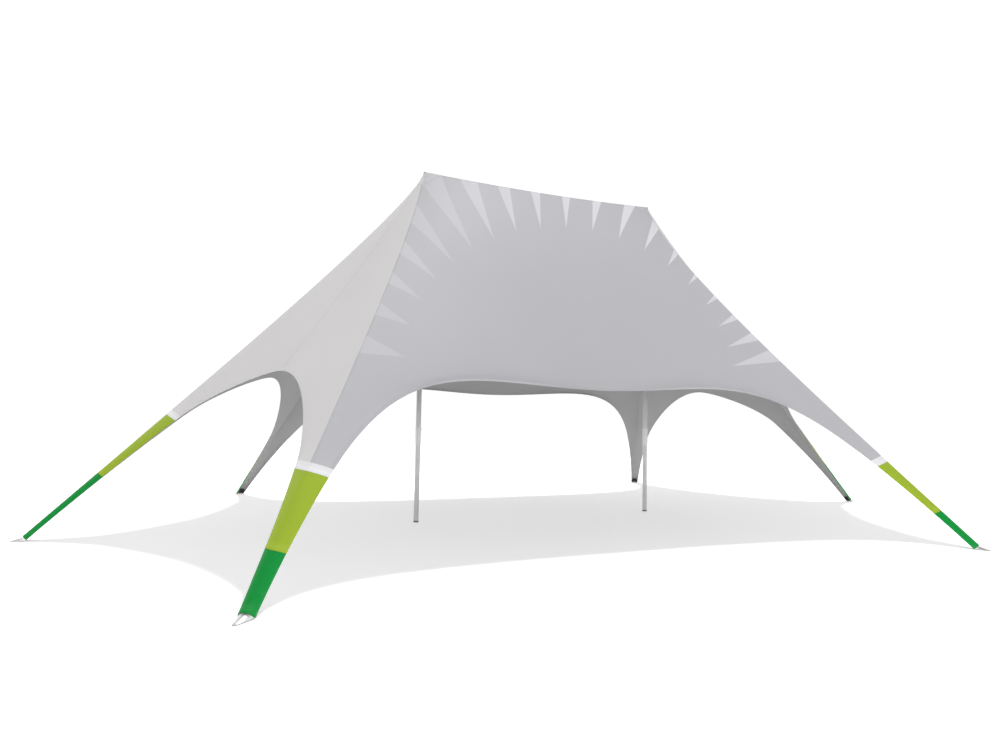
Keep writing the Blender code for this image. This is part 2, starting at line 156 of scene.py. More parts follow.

# Panels and the patches over the peaks: how their UV maps stretch, and how thick the patches are
LONG_UV_RISE = 1.17
END_UV_ACROSS, END_UV_RISE = 0.7, 1.2
PATCH_UV_LEAN = 0.4
PATCH_THICKNESS = 0.0012

# Thread: its pitch, width, and where a stitch ends as shares of the pitch, and the rows'
# distances round a seam's and a hem's section, down from a peak to a patch's edge, and in
# from a sleeve's long edges and up from its lower end
STITCH_PITCH = 0.007
STITCH_HALF_WIDTH = 0.0008
STITCH_END = (0.34, 0.42)
SEAM_STITCHES = (0.007, 0.023)
SEAM_INNER_STITCHES = (0.037, 0.055)
HEM_STITCHES = (0.007, 0.0285)
HEM_INNER_STITCHES = (0.046, 0.068)
PATCH_STITCHES = (0.228, 0.242)
SLEEVE_EDGE_STITCHES = (0.007, 0.029)
SLEEVE_END_STITCHES = (0.006, 0.022)

# Finishes: the weave of the cloth, and the depths of the bumps of cloth, metal and plastic
WEAVE_PITCH = 0.0022
WEAVE_DEPTH, CREASE_DEPTH, THREAD_DEPTH = 0.0002, 0.012, 0.0006
DRAWN_LINE_DEPTH, GRAIN_DEPTH = 0.0004, 0.0003
UNDERSIDE_ROUGHNESS = 0.75

# Rays printed on the long panels. Their angle from the print's centre is a quadratic of
# their place between the first and the last. Their tips lie on a turned ellipse, and they
# widen past it by a share that is a quadratic of the same place
RAY_CENTRE = (-0.66, 1.62)
RAY_ANGLES = (0.305, 1.318, -0.283)
RAYS_A_SIDE = 9
RAY_TIPS_CENTRE = (-0.19, 2.39)
RAY_TIPS_RADII = (2.55, 1.8)
RAY_TIPS_TURN = 0.466
RAY_WIDENING = (0.11, -0.056, 0.0625)
RAY_EDGE = 0.008
RAY_BRIGHTEST = 0.4
RAY_FADE = 1.05
RAY_FAINTEST = 0.28

# Dust near the ground on cloth and plastic, and a dark colour at the ground line of metal, painted
# contact shade with grime; up to where they lie on cloth, and on metal and plastic
DUST = (0.36, 0.33, 0.28, 1.0)
CONTACT_SHADE_AND_GRIME = (0.12, 0.115, 0.105, 1.0)
DUSTY_UP_TO = 0.3
CONTACT_SHADE_AND_DUST_UP_TO = 0.016

# Stage: the floor, the sky's glow by height, the two lamps, and the camera, which is fitted
# to the photo's outlines, with its focal length in pixels of the picture's width
WHITE = (1.0, 1.0, 1.0, 1.0)
FLOOR_COLOUR = (0.92, 0.92, 0.92, 1.0)
FLOOR_SIDES = 128
FLOOR_GLOW = 0.30
FLOOR_RADIUS = 25.0
HORIZON_GLOW, ZENITH_GLOW = 1.02, 0.35
ZENITH_FROM, ZENITH_FULL = 0.57, 0.78
KEY_PLACE = (-0.1, 0.84, 9.4)
KEY_RADIUS = 0.4
KEY_STRENGTH = 3.6
SIDE_FROM = (-1.0, 0.2, 0.35)
SIDE_STRENGTH = 0.2
SIDE_SPREAD = 70.0
CAMERA_SENSOR = 36.0
CAMERA_CLIP_END = 500.0
PICTURE_WIDTH = 1000
CAMERA_FOCAL_PIXELS = 650.4
CAMERA_PLACE = Vector((-4.2998, -8.9745, 1.5963))
CAMERA_YAW = 0.3842
CAMERA_PITCH = 0.0533
CAMERA_ROLL = 0.0193

PANEL_MAIN, PANEL_CORNER_GORE, PANEL_END_GORE = range(3)
END_PANEL = (PANEL_CORNER_GORE, PANEL_END_GORE)
SIDES_X = {"left": -1, "right": 1}
SIDES_Y = {"front": -1, "rear": 1}


def length_property(name, description, default):
    return FloatProperty(name=name, description=description, default=default, unit="LENGTH")


def marks_property(name, description, default):
    return FloatVectorProperty(
        name=name, description=description, default=default, size=4, unit="LENGTH"
    )


def colour_property(name, description, default):
    return FloatVectorProperty(
        name=name, description=description, default=default, size=3, min=0.0, max=1.0,
        subtype="COLOR",
    )


class MarqueeSizes(bpy.types.PropertyGroup):
    """Sizes of the marquee that a maker would change."""

    peak_height: length_property("Peak height", "Height of both peaks above the ground", 5.0)
    half_peak_spacing: length_property(
        "Half peak spacing", "From the middle of the ridge to a peak", 1.9
    )
    ridge_sag: length_property("Ridge sag", "How far the ridge hangs below the peaks", 0.04)
    end_toe_x: length_property("End toe", "From the middle to the toe of an end leg", 6.55)
    corner_toe_x: length_property(
        "Corner toe along", "Toe of a corner leg along the ridge", 4.22
    )
    corner_toe_y: length_property(
        "Corner toe across", "Toe of a corner leg across the ridge", 3.77
    )
    corner_leg_marks: marks_property(
        "Corner leg marks",
        "Up the leg from its toe: tops of white band, lime sleeve and green sleeve, green foot",
        (1.61, 1.505, 0.665, 0.08),
    )
    end_leg_marks: marks_property(
        "End leg marks", "The same distances on the two end legs", (2.18, 2.1, 1.1, 0.085)
    )
    fabric: length_property("Fabric", "Thickness of the coated fabric", 0.0015)
    seam_width: length_property("Seam width", "Width of the lapped and sewn seams", 0.03)
    hem_width: length_property("Hem width", "Width of the hems round the openings", 0.035)
    shell_wall: length_property("Foot shell wall", "Thickness of the foot shells", 0.004)


class MarqueeColours(bpy.types.PropertyGroup):
    """Colours of the marquee's fabrics and fittings."""

    printed_grey: colour_property(
        "Printed grey", "Ground of the long panels", (0.445, 0.445, 0.466)
    )
    ray_grey: colour_property("Ray grey", "Rays printed on the long panels", (0.635, 0.635, 0.66))
    # The end panels' grey is paler than the long panels' ground: partly their own colour, partly
    # painted light on the more lit end faces
    pale_grey: colour_property("Pale grey", "The end panels", (0.60, 0.589, 0.589))
    # The underside grey is darker than both outer greys: the fabric's back, and painted shade
    # inside the canopy
    underside: colour_property("Underside", "The unprinted side of the fabric", (0.34, 0.34, 0.34))
    band_white: colour_property("Band white", "Bands at the tops of the legs", (0.72, 0.72, 0.735))
    lime: colour_property("Lime", "Upper leg sleeves", (0.308, 0.42, 0.027))
    green: colour_property("Green", "Lower leg sleeves", (0.0, 0.25, 0.037))
    steel: colour_property("Foot metal", "The foot shells", (0.82, 0.82, 0.835))
    aluminium: colour_property("Aluminium", "The pole tubes", (0.47, 0.47, 0.475))
    # Black also colours the inner faces of the foot shells, as painted shade inside them
    black: colour_property("Black plastic", "Plugs, pole heads and linings", (0.012, 0.012, 0.013))


# Curves


def quadratic(start, corner, end, t):
    return start * (1 - t) ** 2 + corner * (2 * t * (1 - t)) + end * t**2


def cubic(start, leaving, arriving, end, t):
    return (
        start * (1 - t) ** 3
        + leaving * (3 * t * (1 - t) ** 2)
        + arriving * (3 * t**2 * (1 - t))
        + end * t**3
    )


def distances_along(points):
    """How far each point lies from the first, along the line."""
    travelled = [0.0]
    for before, after in zip(points, points[1:]):
        travelled.append(travelled[-1] + (after - before).length)
    return travelled


def spaced_points(points, count):
    """count + 1 points at equal distances along a line of points."""
    travelled = distances_along(points)
    found = []
    step = 0
    for i in range(count + 1):
        wanted = travelled[-1] * i / count
        while step < len(points) - 2 and travelled[step + 1] < wanted:
            step += 1
        share = (wanted - travelled[step]) / (travelled[step + 1] - travelled[step])
        found.append(points[step].lerp(points[step + 1], share))
    return found


def sampled(curve):
    return [curve(i / CURVE_SAMPLES) for i in range(CURVE_SAMPLES + 1)]


def spaced(curve, count):
    """count + 1 points at equal distances along curve, a function of t from 0 to 1."""
    return spaced_points(sampled(curve), count)


def drop_curve(start, end, top_slope, foot_slope):
    """A curve that leaves start at top_slope below level and meets end at foot_slope."""
    level = Vector((end.x - start.x, end.y - start.y, 0.0))
    reach = level.length
    drop = start.z - end.z
    steep, shallow = math.tan(top_slope), math.tan(foot_slope)
    out = (drop - shallow * reach) / (steep - shallow)
    corner = start + level.normalized() * out - Vector((0.0, 0.0, steep * out))
    return lambda t: quadratic(start, corner, end, t)


def by_distance(terms, distance):
    flat, linear, square = terms
    return flat + linear * distance + square * distance**2


class Leg:
    """A leg: the place where its crown line meets the ground, and its own frame with +X up
    the leg and +Z out of its crown."""

    def __init__(self, sizes, side_x, side_y):
        marks = sizes.corner_leg_marks if side_y else sizes.end_leg_marks
        self.top, self.lime_top, self.green_top, self.green_foot = marks
        self.turn = CORNER_JOINT_TURN if side_y else END_JOINT_TURN
        self.hand = side_x * side_y
        self.drop = -CORNER_JOINT_DROP * self.hand
        if side_y:
            self.half_widths = (LONG_SIDE_HALF_WIDTH, END_SIDE_HALF_WIDTH)
            self.depth = CORNER_LEG_DEPTH
        else:
            self.half_widths = (END_LEG_HALF_WIDTH,)
            self.depth = END_LEG_DEPTH
        toe_x = sizes.corner_toe_x if side_y else sizes.end_toe_x
        self.toe = Vector((side_x * toe_x, side_y * sizes.corner_toe_y, 0.0))
        self.peak = Vector((side_x * sizes.half_peak_spacing, 0.0, sizes.peak_height))
        outward = self.toe - self.peak
        outward.z = 0.0
        outward.normalize()
        up = Vector((0.0, 0.0, 1.0))
        along = up * math.sin(LEG_SLOPE) - outward * math.cos(LEG_SLOPE)
        normal = up * math.cos(LEG_SLOPE) + outward * math.sin(LEG_SLOPE)
        columns = (along, normal.cross(along), normal)
        self.matrix = Matrix.Translation(self.toe) @ Matrix(columns).transposed().to_4x4()

    def half_width(self, distance, across):
        """The half width on the side of a place across the leg."""
        return by_distance(self.half_widths[int(across * self.hand > 0)], distance)

    def section(self, distance, across, inset=0.0, rise=0.0):
        """A point of the outer face in the leg's frame. across runs from -1 to 1 between
        the edges. The section is half an ellipse near the ground and gets a crease along
        its crown higher up. rise lifts its crown."""
        width = self.half_width(distance, across) - inset
        depth = by_distance(self.depth, distance)
        turn = across * math.pi / 2
        crease = max(0.0, distance - ROUND_UP_TO) / (self.top - ROUND_UP_TO) * MOST_CREASE
        sideways = width * ((1 - crease) * math.sin(turn) + crease * across)
        arch = (1 - crease) * math.cos(turn) + crease * (1 - abs(across))
        return Vector((distance, sideways, (depth + rise - inset) * arch - depth))

    def joint(self, mark, across):
        """How far up the leg a joint near mark lies at a place across the leg."""
        raised = self.section(mark, across).z - self.section(mark, 1.0).z
        aside = across * self.half_width(mark, across)
        return mark - self.turn * raised / math.tan(LEG_SLOPE) - self.drop * aside

    def point(self, distance, across, inset=0.0, rise=0.0):
        return self.matrix @ self.section(distance, across, inset, rise)

    def edge_direction(self, across):
        """The direction of the leg's edge where the leg ends and the arch begins."""
        step = 0.01
        end = self.joint(self.top, across)
        return (self.point(end, across) - self.point(end - step, across)).normalized()

    def crown(self):
        """From the peak down to the leg's top."""
        end = self.point(self.joint(self.top, 0.0), 0.0)
        return drop_curve(self.peak, end, CROWN_TOP_SLOPE, LEG_SLOPE)


class Plan:
    """The canopy's lines in the quarter with x > 0 and y > 0, and all its legs."""

    def __init__(self, sizes):
        self.sizes = sizes
        self.peak = Vector((sizes.half_peak_spacing, 0.0, sizes.peak_height))
        self.end_leg = Leg(sizes, 1, 0)
        self.corner_leg = Leg(sizes, 1, 1)
        self.legs = {f"{name}_end": Leg(sizes, side, 0) for name, side in SIDES_X.items()}
        for y_name, side_y in SIDES_Y.items():
            for x_name, side_x in SIDES_X.items():
                self.legs[f"{y_name}_{x_name}"] = Leg(sizes, side_x, side_y)

    def ridge_curve(self, t):
        x = self.sizes.half_peak_spacing * (1 - t)
        return Vector((x, 0.0, self.sizes.peak_height - self.sizes.ridge_sag * (1 - (1 - t) ** 2)))

    def middle_curve(self, t):
        return self.ridge_curve(1.0).lerp(LONG_ARCH_TOP, t)

    def arch_points(self, top, level, handles, leg, side, rows):
        """From the top of an arch, which it leaves level, to an edge of a leg."""
        end = leg.point(leg.joint(leg.top, side), side)
        leaving = top + level * handles[0]
        arriving = end + leg.edge_direction(side) * handles[1]
        return spaced(lambda t: cubic(top, leaving, arriving, end, t), rows)

    def long_edge_points(self):
        """From the top of the long arch to the corner leg."""
        leg, level = self.corner_leg, Vector((1.0, 0.0, 0.0))
        return self.arch_points(LONG_ARCH_TOP, level, LONG_ARCH_HANDLES, leg, -1, LONG_EDGE_ROWS)

    def end_edge_points(self, leg, side):
        """From the top of the end arch to the end leg, or on side 1 to the corner leg."""
        level = (self.corner_leg.toe - self.end_leg.toe).normalized() * side
        handles = END_ARCH_HANDLES[side]
        return self.arch_points(END_ARCH_TOP, level, handles, leg, side, END_EDGE_ROWS)

    def from_peak(self, curve, rows):
        """Points from the peak: the rows of the cap, then rows more."""
        points = sampled(curve)
        first = next(i for i, far in enumerate(distances_along(points)) if far >= CAP_LENGTH)
        cap = spaced_points(points[: first + 1], CAP_ROWS)
        return cap + spaced_points(points[first:], rows)[1:]

    def crown_points(self, leg):
        return self.from_peak(leg.crown(), SEAM_ROWS + END_EDGE_ROWS)

    def end_seam_points(self):
        seam = drop_curve(self.peak, END_ARCH_TOP, SEAM_TOP_SLOPE, SEAM_FOOT_SLOPE)
        return self.from_peak(seam, SEAM_ROWS)

    def ridge_points(self):
        return self.from_peak(self.ridge_curve, RIDGE_ROWS)

    def long_face_points(self):
        """The long face's far side: along the ridge, down the middle and out on the arch."""
        middle = spaced(self.middle_curve, MIDDLE_ROWS)
        return self.ridge_points() + middle[1:] + self.long_edge_points()[1:]


# Sheets


def all_of(bm):
    return bm.verts[:] + bm.edges[:] + bm.faces[:]


def move_grid(made, columns, rows, place):
    """Moves each vertex of a fresh grid of size 0.5 to place(vertex, row, column)."""
    for vert in made["verts"]:
        row, column = round((vert.co.y + 0.5) * rows), round((vert.co.x + 0.5) * columns)
        vert.co = place(vert, row, column)


def add_quarter(bm, plan, kind, leg, side, far_points):
    """A sheet between a leg's crown and far_points, from the peak down to the leg. side is
    -1 or 1, the leg's edge that far_points ends at."""
    panel = bm.faces.layers.int["panel"]
    free = bm.verts.layers.int["free"]
    down = bm.verts.layers.float["down"]
    near_points = plan.crown_points(leg)
    rows = len(near_points) - 1
    first_middle = CAP_ROWS + RIDGE_ROWS

    def place(vert, row, column):
        on_line = kind == PANEL_MAIN and column == COLUMNS
        on_middle = on_line and first_middle < row < first_middle + MIDDLE_ROWS
        vert[free] = int(on_middle or (0 < column < COLUMNS and 0 < row < rows))
        vert[down] = row / CAP_ROWS
        across = column / COLUMNS
        if row < rows:
            return near_points[row].lerp(far_points[row], across)
        return leg.point(leg.joint(leg.top, side * across), side * across)

    made = bmesh.ops.create_grid(bm, x_segments=COLUMNS, y_segments=rows, size=0.5)
    for face in {face for vert in made["verts"] for face in vert.link_faces}:
        face[panel] = kind
    move_grid(made, COLUMNS, rows, place)


def relax(bm):
    """Lets the free vertices settle between their neighbours, each only across the face of
    the sheet, so that none slides past the edge of an arch."""
    bm.verts.index_update()
    free = bm.verts.layers.int["free"]
    places = numpy.array([vert.co for vert in bm.verts])
    loose = numpy.array([vert[free] == 1 for vert in bm.verts])
    ends = numpy.array([[vert.index for vert in edge.verts] for edge in bm.edges])
    corners = numpy.array([
        [face.verts[i % len(face.verts)].index for i in range(4)] for face in bm.faces
    ])
    lengths = numpy.linalg.norm(places[ends[:, 1]] - places[ends[:, 0]], axis=1)
    weights = numpy.repeat(1.0 / lengths[:, None] ** 2, 3, axis=1)

    def gather(index, values):
        sums = [numpy.bincount(index, values[:, axis], len(places)) for axis in range(3)]
        return numpy.stack(sums, 1)

    total = gather(ends[:, 0], weights) + gather(ends[:, 1], weights)
    for _ in range(RELAX_STEPS):
        around = gather(ends[:, 0], weights * places[ends[:, 1]])
        around += gather(ends[:, 1], weights * places[ends[:, 0]])
        pull = around / total - places
        first, second, third, fourth = (places[corners[:, i]] for i in range(4))
        crossed = numpy.cross(third - first, fourth - second)
        normal = sum(gather(corners[:, i], crossed) for i in range(4))
        normal /= numpy.linalg.norm(normal, axis=1)[:, None] + NO_LENGTH
        move = normal * (pull * normal).sum(1)[:, None] * RELAX_FACTOR
        places[loose] += move[loose]
    for vert, place in zip(bm.verts, places):
        vert.co = place


def canopy_sheet(plan):
    """The whole canopy down to the white bands, as one relaxed sheet without thickness."""
    bm = bmesh.new()
    bm.faces.layers.int.new("panel")
    bm.verts.layers.int.new("free")
    bm.verts.layers.float.new("down")
    seam = plan.end_seam_points()
    to_corner = seam + plan.end_edge_points(plan.corner_leg, 1)[1:]
    to_end = seam + plan.end_edge_points(plan.end_leg, -1)[1:]
    add_quarter(bm, plan, PANEL_MAIN, plan.corner_leg, -1, plan.long_face_points())
    add_quarter(bm, plan, PANEL_CORNER_GORE, plan.corner_leg, 1, to_corner)
    add_quarter(bm, plan, PANEL_END_GORE, plan.end_leg, -1, to_end)
    bmesh.ops.remove_doubles(bm, verts=bm.verts, dist=MERGE)
    for axis in ("X", "Y"):
        bmesh.ops.mirror(bm, geom=all_of(bm), axis=axis, merge_dist=MERGE)
    bmesh.ops.recalc_face_normals(bm, faces=bm.faces)
    if sum(face.normal.z for face in bm.faces) < 0:
        bmesh.ops.reverse_faces(bm, faces=bm.faces)
    relax(bm)
    return bm


def cut_panel(sheet, kinds, side_x, side_y, only_patch=False):
    """The faces of some kinds on one side. A side of 0 takes both. only_patch leaves those
    round the peaks, where down goes from 0 to 1."""
    bm = sheet.copy()
    panel = bm.faces.layers.int["panel"]
    down = bm.verts.layers.float["down"]
    others = []
    for face in bm.faces:
        centre = face.calc_center_median()
        here = face[panel] in kinds and centre.x * side_x >= 0 and centre.y * side_y >= 0
        below_patch = max(vert[down] for vert in face.verts) > 1.0 + WELD
        if not here or (only_patch and below_patch):
            others.append(face)
    bmesh.ops.delete(bm, geom=others, context="FACES")
    return bm


def sheet_area(bm):
    return sum(face.calc_area() for face in bm.faces)


def new_object(name, data):
    made = bpy.data.objects.new(name, data)
    bpy.context.scene.collection.objects.link(made)
    return made


def finish_piece(name, bm, finishes, slot):
    """A bmesh as a piece that rides on the marquee, shaded smooth but for its sharp and its
    open edges."""
    mesh = bpy.data.meshes.new(name)
    bm.edges.index_update()
    open_edges = [edge.index for edge in bm.edges if edge.is_boundary]
    bm.to_mesh(mesh)
    bm.free()
    mesh.shade_smooth()
    mesh.set_sharp_from_angle(angle=SMOOTH_ANGLE)
    for index in open_edges:
        mesh.edges[index].use_edge_sharp = True
    for finish in finishes:
        mesh.materials.append(finish)
    piece = new_object(name, mesh)
    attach(piece, "root")
    return piece


def thicken(piece, thickness, offset, lining=0):
    """A wall inside the sheet, at offset -1, or outside it, at offset 1. lining is the new
    face's material, counted on from the sheet's."""
    wall = piece.modifiers.new("thickness", "SOLIDIFY")
    wall.thickness = thickness
    wall.offset = offset
    wall.use_even_offset = False
    wall.material_offset = lining


def write_uv(bm, place):
    """A UV map in metres: place gives (across, along) for a vertex."""
    uv = bm.loops.layers.uv.verify()
    for face in bm.faces:
        for loop in face.loops:
            loop[uv].uv = place(loop.vert)


# Strips along the fabric's lines


def point_key(point):
    return tuple(round(value, 4) for value in point)


def edge_facts(bm):
    """The centre and the normal of the fabric beside each point of a sheet's outline."""
    facts = {}
    bm.normal_update()
    for vert in bm.verts:
        if not vert.is_boundary:
            continue
        normal = sum((face.normal * face.calc_area() for face in vert.link_faces), Vector())
        centre = sum((face.calc_center_median() for face in vert.link_faces), Vector())
        facts[point_key(vert.co)] = (centre / len(vert.link_faces), normal.normalized())
    return facts


def line_frames(points, facts):
    """At each point of a line on a sheet's outline: the way in, and the way out of its face."""
    frames = []
    for i, point in enumerate(points):
        before, after = points[max(i - 1, 0)], points[min(i + 1, len(points) - 1)]
        along = (after - before).normalized()
        centre, normal = facts[point_key(point)]
        normal = (normal - along * normal.dot(along)).normalized()
        inward = centre - point
        inward -= along * inward.dot(along) + normal * inward.dot(normal)
        frames.append((inward.normalized(), normal))
    return frames


def round_loop(section):
    """How far round a closed section each of its points lies, and its first point again."""
    return distances_along([*section, section[0]])


def follow(sections, measure=round_loop):
    """A band with closed ends through sections, each a closed loop of as many points, with a
    UV map in metres: measure's values round the loop, and the way along the band. Each face
    keeps the number of its strip round the loop."""
    bm = bmesh.new()
    uv = bm.loops.layers.uv.new("along")
    strip = bm.faces.layers.int.new("strip")
    around, rows = len(sections[0]), len(sections) - 1
    made = bmesh.ops.create_grid(bm, x_segments=around, y_segments=rows, size=0.5, calc_uvs=True)
    measured = [measure(section) for section in sections]
    along = distances_along([section[0] for section in sections])
    for face in bm.faces:
        columns = []
        for loop in face.loops:
            column, row = round(loop[uv].uv.x * around), round(loop[uv].uv.y * rows)
            columns.append(column)
            loop[uv].uv = (measured[row][column], along[row])
        face[strip] = min(columns)
    move_grid(made, around, rows, lambda vert, row, column: sections[row][column % around])
    bmesh.ops.remove_doubles(bm, verts=bm.verts, dist=WELD)
    bmesh.ops.holes_fill(bm, edges=[edge for edge in bm.edges if edge.is_boundary], sides=0)
    bmesh.ops.recalc_face_normals(bm, faces=bm.faces)
    return bm


def colour_strips(bm, last_strips):
    """Gives each face the material whose strips it is in. last_strips holds the last strip
    of every material but the last."""
    strip = bm.faces.layers.int["strip"]
    for face in bm.faces:
        face.material_index = sum(face[strip] > last for last in last_strips)


def walk_in(tree, point, frame, width):
    """Points and normals of the fabric from a point on its edge inward over a width."""
    inward, normal = frame
    step = width / HEM_STEPS
    found = [(point, normal)]
    for _ in range(HEM_STEPS):
        place, up, _, _ = tree.find_nearest(found[-1][0] + inward * step)
        inward = (place - found[-1][0]).normalized()
        found.append((place, up))
    return found


def hem_section(walk, outward, fabric):
    """A folded hem round a free edge: outside, round the edge and back inside."""
    out, under = HEM_PROUD, -fabric - HEM_PROUD
    bulge = (out - under) / 2
    (last, _), (end, up) = walk[-2:]
    edge = (end.lerp(last, HEM_RAMP / (end - last).length), up)
    across = [*walk[:-1], edge]
    outside = [place + normal * out for place, normal in across]
    inside = [place + normal * under for place, normal in across]
    point, normal = walk[0]
    middle = point + normal * (out + under) / 2
    ways = [outward * math.cos(turn) + normal * math.sin(turn) for turn in HEM_FOLD]
    fold = [middle + way * bulge for way in ways]
    first, last = end + up * (out - EDGE_SINK), end + up * (under + EDGE_SINK)
    return [first, *outside[::-1], *fold, *inside, last]


def seam_section(point, first, second, width, fabric):
    """A lapped seam over the line where two panels meet, on both faces of the fabric."""
    half = width / 2
    near = half - HEM_RAMP
    middle = (first[1] + second[1]).normalized()
    out, under = HEM_PROUD, -fabric - HEM_PROUD

    def place(frame_there, inward, height):
        return point + frame_there[0] * inward + frame_there[1] * height

    top = [
        place(first, half, out - EDGE_SINK), place(first, near, out), point + middle * out,
        place(second, near, out), place(second, half, out - EDGE_SINK),
    ]
    return top + [place(second, near, under), point + middle * under, place(first, near, under)]


def sew(name, line, sections, outer_strips, finishes, width):
    """A band of fabric along a line, with the second finish past its outer strips."""
    bm = follow(sections)
    colour_strips(bm, (outer_strips - 1,))
    piece = finish_piece(name, bm, finishes, "grey_canvas")
    length = distances_along(line)[-1]


def mirrored(points, side_x, side_y):
    return [Vector((point.x * side_x, point.y * side_y, point.z)) for point in points]


# Half-pipes round the legs


def sleeve_loop(leg, distance_at, proud, sizes):
    """The closed section of a fabric half-pipe whose long edges are folded in. distance_at
    gives the distance up the leg for a place across it."""
    middle = distance_at(0.0)
    half_width = (leg.half_width(middle, -1.0) + leg.half_width(middle, 1.0)) / 2
    girth = half_width + by_distance(leg.depth, middle) * GIRTH_OF_DEPTH
    folded = 1.0 - sizes.hem_width / girth
    steps = [i / SLEEVE_COLUMNS for i in range(-SLEEVE_COLUMNS, SLEEVE_COLUMNS + 1)]

    def ring(places, inset):
        return [leg.point(distance_at(across), across, inset) for across in places]

    fold = FOLD_DEPTH * sizes.fabric
    inside = [folded * FOLD_OVERLAP * across for across in reversed(steps)]
    edges = [ring(places, fold) for places in ((1.0, folded), (-folded, -1.0))]
    return ring(steps, -proud) + edges[0] + ring(inside, sizes.fabric) + edges[1]


def sleeve_rows(length):
    """Rows up a sleeve: a distance above its lower end, the share of the rest above that,
    and how far the doubled hem stands proud."""
    above_hem = END_HEM + HEM_RAMP
    rows = [(0.0, 0.0, END_HEM_PROUD), (END_HEM, 0.0, END_HEM_PROUD)]
    count = max(1, math.ceil((length - above_hem) / SLEEVE_ROW))
    return rows + [(above_hem, i / count, 0.0) for i in range(count + 1)]


def in_from_edges(section):
    """How far in from the nearer long edge the points of a sleeve's outer face lie, and how
    far on from that face the rest do."""
    walked = round_loop(section)
    width = walked[2 * SLEEVE_COLUMNS]
    return [min(d, abs(width - d)) if d <= width else d - width for d in walked]


def edge_length(bottom, top):
    """The mean length of a sleeve's two long edges."""
    return (top(1.0) - bottom(1.0) + top(-1.0) - bottom(-1.0)) / 2


def sleeve_mesh(leg, bottom, top, sizes):
    """A fabric half-pipe with folded edges between two joints, each a function of the place
    across. Its inner faces have the second material."""
    sections = []
    for above, share, proud in sleeve_rows(edge_length(bottom, top)):
        def distance_at(across):
            start = bottom(across) + above
            return start + (top(across) - start) * share

        sections.append(sleeve_loop(leg, distance_at, proud, sizes))
    bm = follow(sections, in_from_edges)
    colour_strips(bm, (2 * SLEEVE_COLUMNS - 1,))
    return bm


def shell_mesh(leg, sizes):
    """A pressed metal half-pipe whose toe is drawn out, cut off level with the ground. Its
    inner faces have the second material."""
    steps = [i / SHELL_COLUMNS for i in range(-SHELL_COLUMNS, SHELL_COLUMNS + 1)]
    sections = []
    for i in range(SHELL_ROWS + 1):
        distance = SHELL_BOTTOM + (SHELL_TOP - SHELL_BOTTOM) * i / SHELL_ROWS
        past_start = max(0.0, TOE_START - distance)
        rise = TOE_SLOPE * past_start**2 / (past_start + TOE_BEND)
        outer = [leg.point(distance, across, SHELL_INSET, rise) for across in steps]
        wall = SHELL_INSET + sizes.shell_wall
        inner = [leg.point(distance, across, wall, rise) for across in reversed(steps)]
        sections.append(outer + inner)
    bm = follow(sections)
    colour_strips(bm, (2 * SHELL_COLUMNS,))
    cut = bmesh.ops.bisect_plane(
        bm, geom=all_of(bm), plane_co=(0, 0, 0), plane_no=(0, 0, -1), clear_outer=True
    )
    edges = [item for item in cut["geom_cut"] if isinstance(item, bmesh.types.BMEdge)]
    rim = bmesh.ops.edgenet_fill(bm, edges=edges)
    for face in rim["faces"]:
        face.material_index = 0
    bmesh.ops.recalc_face_normals(bm, faces=bm.faces)
    return bm


# Shaders


def operators(operation):
    """Two methods that add a Math node: the socket first, and the other value first."""
    return (
        lambda self, other: self.shading.maths(operation, self, other),
        lambda self, other: self.shading.maths(operation, other, self),
    )


class Value:
    """A socket that Python's arithmetic adds Math nodes to."""

    def __init__(self, shading, socket):
        self.shading = shading
        self.socket = socket

    __add__, __radd__ = operators("ADD")
    __sub__, __rsub__ = operators("SUBTRACT")
    __mul__, __rmul__ = operators("MULTIPLY")
    __truediv__, __rtruediv__ = operators("DIVIDE")


